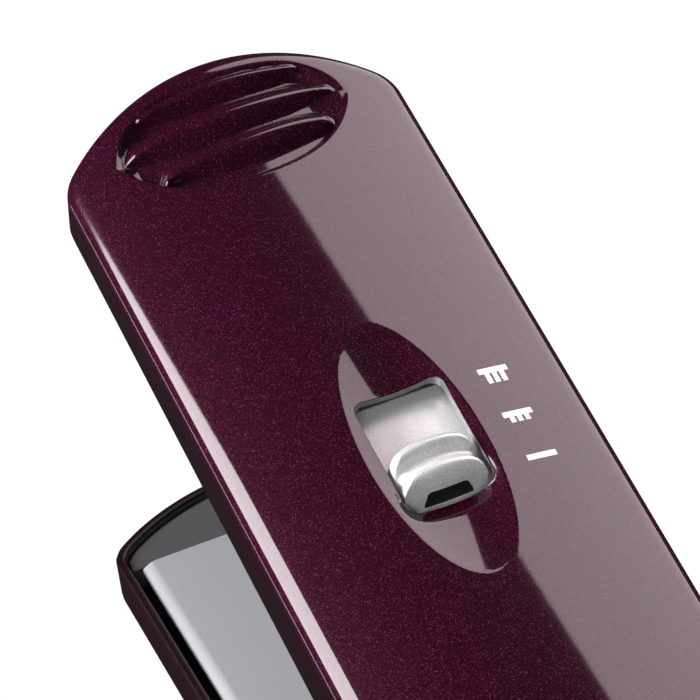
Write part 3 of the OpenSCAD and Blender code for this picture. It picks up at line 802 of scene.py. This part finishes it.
# ---------------------------------------------------------------- printed position marks
def mark(name, quads):
    """Thin print on the back: quads are (near and far distance from the tip, low and high y)."""
    def grid(near, far, low, high, lift):
        return [[(ARM_L - b, y, float(crown_z(ARM_L - b, y)) + lift) for y in np.linspace(low, high, 5)]
                for b in np.linspace(near, far, 5)]

    part = join(*(slab(grid(*quad, 0.03), grid(*quad, -0.02)) for quad in quads))
    return fix_normals(add_mesh(name, part, [MAT["print"]], TO_UPPER, "upper_arm", smooth=False))


TEETH = [(-11.62, -11.05), (-12.50, -11.92), (-13.40, -12.82)]
mark("mark_long_comb", [(55.05, 55.85, -14.0, -10.45)] + [(55.85, 57.35, a, b) for a, b in TEETH])
mark("mark_short_comb", [(61.75, 62.55, -14.0, -10.45)] + [(62.55, 63.4, a, b) for a, b in TEETH])
mark("mark_no_comb", [(68.25, 69.05, -14.0, -10.45)])


# ---------------------------------------------------------------- hinge, tail, gland, nubs
def lug(name, y0, y1, to, body):
    """Hinge lug: rounded round the pin, square where it meets the shell."""
    outline = arc(0, 0, 5.5, 62, 275, 30) + [(SHELL_X0 + 0.9, 0.42), (SHELL_X0 + 0.9, 9.5)]
    return solid(name, prism(outline, y0, y1, 1), MAT["shell"], to, body, width=0.45, segments=3)


lug("hinge_lug_upper", -6, 6, TO_UPPER, "upper_arm")
lug("hinge_lug_lower_left", 10, 15.5, TO_LOWER, "lower_arm")
lug("hinge_lug_lower_right", -15.5, -10, TO_LOWER, "lower_arm")

CAP_PROFILE = [(15.75, 0), (15.75, 5.2), (15.9, 5.5), (16.7, 5.6), (17.2, 5.3), (17.42, 4.7), (17.42, 4.2),
               (17.2, 3.9), (17.2, 0)]
for side, side_name in ((-1, "right"), (1, "left")):
    verts, faces = turned(CAP_PROFILE, 64, axis=1)
    cap = [(x, side * y, z) for x, y, z in verts], faces
    solid("hinge_cap_" + side_name, cap, MAT["shell"], TO_ROW, "lower_arm", ["hinge_caps"])

tail_plan = [(SHELL_X0 + 1.6, -15.3), (3, -15.3), (-3, -14.2), (-8, -11.2), (-12, -7.9), (-13.7, -5.6)]
tail_plan += [(x, -y) for x, y in reversed(tail_plan)]
solid("hinge_tail", prism(tail_plan, 6.02, REST_Z - 0.05, 2), MAT["shell"], TO_LOWER, "lower_arm",
      width=1.4, segments=4, angle=25)

# cord gland: front end, six ribs, rear collar with its groove
gland = [(GLAND_END, 2.0), (GLAND_END, 2.6), (-26.7, 2.95), (-26.2, 3.15)]
for rib in range(6):
    x, r = -25.6 + rib * 1.55, 3.25 + 0.13 * rib
    gland += [(x, r), (x + 0.15, r + 0.12), (x + 0.85, r + 0.14), (x + 1.0, r), (x + 1.05, r - 0.5),
              (x + 1.5, r - 0.5)]
gland += [(-16.1, 4.0), (-15.9, 4.1), (-14.6, 4.1), (-14.4, 3.95), (-14.4, 3.5), (-12.0, 3.5), (-12.0, 2.9),
          (-9.7, 2.9), (-9.7, 3.5), (-8.5, 3.5), (-8.5, 2.0), (GLAND_END, 2.0)]
solid("cord_gland_skin", shifted(turned(gland, 56), z=-9.9), MAT["gland"], TO_ROW, "gland",
      ["cord_gland"], sharp=50)

NUB_PROFILE = [(11.2, 0), (11.2, 3.2), (13.3, 3.2), (13.75, 3.1), (14.1, 2.85), (14.4, 2.3), (14.58, 1.4),
               (14.6, 0)]
nub = turned(NUB_PROFILE, 40, axis=2)
solid("rest_nub_pair", join(shifted(nub, x=NUB_X, y=-NUB_Y), shifted(nub, x=NUB_X, y=NUB_Y)), MAT["rubber"],
      TO_LOWER, "lower_arm", ["rest_nubs"])


# ---------------------------------------------------------------- combs
TEETH_PER_COMB, TOOTH_PITCH, TOOTH_HALF = 34, 3.0, 0.35
# (z, from x, to x, half width as a part of TOOTH_HALF) down a tooth
TOOTH_LEVELS = [(4.65, 0.0, 1.3, 1.0), (3.2, 0.06, 1.24, 0.96), (1.4, 0.16, 1.14, 0.86),
                (0.8, 0.26, 1.04, 0.74), (0.55, 0.44, 0.86, 0.5)]


def comb_skin(name, side, node_name):
    """Comb strip with tapered, round-ended teeth."""
    y0, y1 = sorted((side * (PLATE_HALF + 0.4), side * (PLATE_HALF + 1.1)))
    mid = (y0 + y1) / 2
    parts = [box_part(PX0 + 2, PX0 + 104, y0, y1, 4.6, 5.8)]
    last = 4 * (len(TOOTH_LEVELS) - 1)
    faces = [(r + q, r + (q + 1) % 4, r + 4 + (q + 1) % 4, r + 4 + q)
             for r in range(0, last, 4) for q in range(4)]
    faces += [(0, 1, 2, 3), (last + 3, last + 2, last + 1, last)]
    for k in range(TEETH_PER_COMB):
        x = PX0 + 2 + k * TOOTH_PITCH
        verts = []
        for z, a, b, part in TOOTH_LEVELS:
            h = TOOTH_HALF * part
            verts += [(x + a, mid - h, z), (x + b, mid - h, z), (x + b, mid + h, z), (x + a, mid + h, z)]
        parts.append((verts, faces))
    return solid(name, join(*parts), MAT["comb"], TO_UPPER, "comb", [node_name], sharp=30)


comb_skin("left_comb_skin", 1, "left_comb")
comb_skin("right_comb_skin", -1, "right_comb")


# ---------------------------------------------------------------- keys, lens
KEY_PROFILE = [(0.72, 0), (0.74, 2.2), (0.72, 2.9), (0.8, 3.3), (1.05, 3.48), (1.4, 3.5), (2.35, 3.5),
               (2.4, 4.3), (2.85, 4.3), (2.85, 1.2), (3.1, 1.2), (3.1, 0)]
for key, key_x, key_slot in (("power", POWER_X, "button_silver"), ("temp_up", TEMP_UP_X, "button_grey"),
                             ("temp_down", TEMP_DOWN_X, "button_grey")):
    solid(key + "_key_skin", shifted(turned(KEY_PROFILE, 56, axis=2), x=key_x), MAT[key_slot], TO_LOWER,
          key + "_key", [key + "_button"])


def bar(x, half_x, half_y):
    """Printed bar on a key."""
    return box_part(x - half_x, x + half_x, -half_y, half_y, *PRINT_Z)


def symbol(name, parts, body):
    return solid(name, join(*parts), MAT["print"], TO_LOWER, body, sharp=60)


PRINT_Z, BAR, STROKE = (0.69, 0.735), 1.2, 0.22
symbol("temp_up_mark", [bar(TEMP_UP_X, BAR, STROKE), bar(TEMP_UP_X, STROKE, BAR)], "temp_up_key")
symbol("temp_down_mark", [bar(TEMP_DOWN_X, STROKE, BAR)], "temp_down_key")
ring = arc(POWER_X, 0, 1.5, 40, 320, 25) + arc(POWER_X, 0, 1.15, 320, 40, 25)
symbol("power_mark", [prism(ring, *PRINT_Z, 2), bar(POWER_X + 1.05, 0.75, 0.18)], "power_key")

lens_steps = [box_part(LENS_X - a, LENS_X + a, -b, b, z0, z1)
              for a, b, z0, z1 in ((7.9, 5.9, 0.72, 1.7), (8.9, 6.9, 2.1, 2.6), (7.7, 5.7, 1.6, 2.2))]
solid("display_lens_skin", join(*lens_steps), MAT["lens"], TO_LOWER, "lower_arm", ["display_lens"],
      width=0.18, segments=3)


# ---------------------------------------------------------------- CAD nodes that stay
SLOT_OF_NODE = {s["node"]: s["material_slot"] for s in frame["record"]["subparts"]}
for node_name, ob in frame["nodes"].items():
    ob.data.materials.clear()
    ob.data.materials.append(TRAY if node_name == "slide_plate" else MAT[SLOT_OF_NODE[node_name]])


# ---------------------------------------------------------------- camera
cam_data = bpy.data.cameras.new("camera")
cam = bpy.data.objects.new("camera", cam_data)
bpy.context.scene.collection.objects.link(cam)
bpy.context.scene.camera = cam
cam_data.sensor_width = 36.0
cam_data.lens = 283.146                       # long lens from about half a metre, as in the picture
cam_data.clip_start, cam_data.clip_end = 0.02, 20.0
EYE = Vector((-0.28353 + SHIFT_X / 1000, 0.14659, 0.44834 + REST_Z / 1000))
FORWARD = Vector((0.74008, -0.23495, -0.63014)).normalized()
RIGHT = Vector((-0.386655, -0.915294, -0.112847)).normalized()
UP = RIGHT.cross(FORWARD).normalized()
RIGHT = FORWARD.cross(UP).normalized()
cam.matrix_world = Matrix((
    (RIGHT.x, UP.x, -FORWARD.x, EYE.x),
    (RIGHT.y, UP.y, -FORWARD.y, EYE.y),
    (RIGHT.z, UP.z, -FORWARD.z, EYE.z),
    (0, 0, 0, 1)))


# ---------------------------------------------------------------- studio
def backdrop_material():
    """White that shines on its front and lets the view through from behind."""
    m = material("backdrop_white", (0, 0, 0), spec=0)
    bsdf(m).inputs["Emission Color"].default_value = (1, 1, 1, 1)
    bsdf(m).inputs["Emission Strength"].default_value = 1.05
    either = node(m, "ShaderNodeMixShader")
    link(m, node(m, "ShaderNodeNewGeometry"), "Backfacing", either, 0)
    link(m, bsdf(m), "BSDF", either, 1)
    link(m, node(m, "ShaderNodeBsdfTransparent"), "BSDF", either, 2)
    link(m, either, "Shader", m.node_tree.nodes["Material Output"], "Surface")
    return m


def stage_piece(name, me, hidden_from):
    me.materials.append(BACKDROP)
    ob = bpy.data.objects.new(name, me)
    bpy.context.scene.collection.objects.link(ob)
    for ray in hidden_from:
        setattr(ob, "visible_" + ray, False)
    return ob


bpy.context.scene.view_settings.view_transform = "Standard"
BACKDROP = backdrop_material()
floor_mesh = bpy.data.meshes.new("floor")
floor_mesh.from_pydata([(-4, -4, 0), (4, -4, 0), (4, 4, 0), (-4, 4, 0)], [], [(0, 1, 2, 3)])
floor = stage_piece("floor", floor_mesh, ("diffuse", "glossy", "shadow"))
floor.location.z = -0.0002

# white surround for level and low views; only the camera sees it
dome_mesh = bpy.data.meshes.new("surround")
bm = bmesh.new()
bmesh.ops.create_icosphere(bm, subdivisions=4, radius=6.0)
bmesh.ops.reverse_faces(bm, faces=bm.faces)
bm.to_mesh(dome_mesh)
bm.free()
stage_piece("surround", dome_mesh, ("diffuse", "glossy", "transmission", "volume_scatter", "shadow"))

world = bpy.data.worlds.new("studio")
bpy.context.scene.world = world
world.use_nodes = True
world.node_tree.nodes["Background"].inputs["Color"].default_value = (1, 1, 1, 1)
world.node_tree.nodes["Background"].inputs["Strength"].default_value = 0.03

HINGE = Vector((SHIFT_X / 1000, 0, REST_Z / 1000))


def panel(name, corner, along, across, length, width, power, color=(1, 1, 1), glossy=True, diffuse=True):
    """Rectangular light: one edge starts at corner and runs along, the light spreads across from it."""
    u = Vector(along).normalized()
    v = Vector(across)
    v = (v - u * v.dot(u)).normalized()
    d = bpy.data.lights.new(name, "AREA")
    d.shape = "RECTANGLE"
    d.size, d.size_y, d.energy, d.color = length, width, power, color
    ob = bpy.data.objects.new(name, d)
    bpy.context.scene.collection.objects.link(ob)
    centre = HINGE + Vector(corner) + u * (length / 2) + v * (width / 2)
    w = u.cross(v)
    if w.dot(centre - HINGE) < 0:
        w, u = -w, -u
    ob.matrix_world = Matrix(((u.x, v.x, w.x, centre.x), (u.y, v.y, w.y, centre.y), (u.z, v.z, w.z, centre.z),
                              (0, 0, 0, 1)))
    ob.visible_glossy = glossy
    ob.visible_diffuse = diffuse
    return ob


# the softbox's edge lies along the highlight's border on the back
SOFTBOX_EDGE = Vector((0.843, 0.533, 0.078)).normalized()
softbox_corner = Vector((0.538, -0.320, 0.923)) - SOFTBOX_EDGE * 0.5
panel("softbox", softbox_corner, SOFTBOX_EDGE, (-0.18, -0.71, -0.68), 0.68, 0.9, 8.0,
      color=(1.0, 0.815, 0.865), diffuse=False)
# slanted card on the left for the rounded edge
panel("left_card", (0.743, 0.80, 0.42), (-0.19, -0.45, 0.58), (-1, 0, 0), 0.70, 0.90, 28,
      color=(1.0, 0.92, 0.955), diffuse=False)
# low card for the thin line between the rounded edge and the side wall
panel("low_card", (0.3, 0.42, -0.12), (1, 0, 0), (0.0, -0.02, -1.0), 0.4, 0.06, 0.25, diffuse=False)
# key from the left, beyond the tips
panel("key", (0.81, 0.79, 0.22), (-0.86, 0.5, 0), (-0.2, -0.35, 0.91), 0.6, 0.5, 40, glossy=False)
# fills from the near side, from below and from the right
panel("near_fill", (-0.85, 0.0, 0.35), (0, 1, 0), (0.4, 0, 0.6), 0.6, 0.5, 6, glossy=False)
panel("under_fill", (-0.2, -0.3, -0.8), (1, 0, 0), (0, 1, 0), 0.6, 0.6, 11, glossy=False)
panel("right_fill", (-0.3, -0.9, -0.15), (1, 0, 0), (0, 0, 1), 0.8, 0.3, 14, glossy=False)
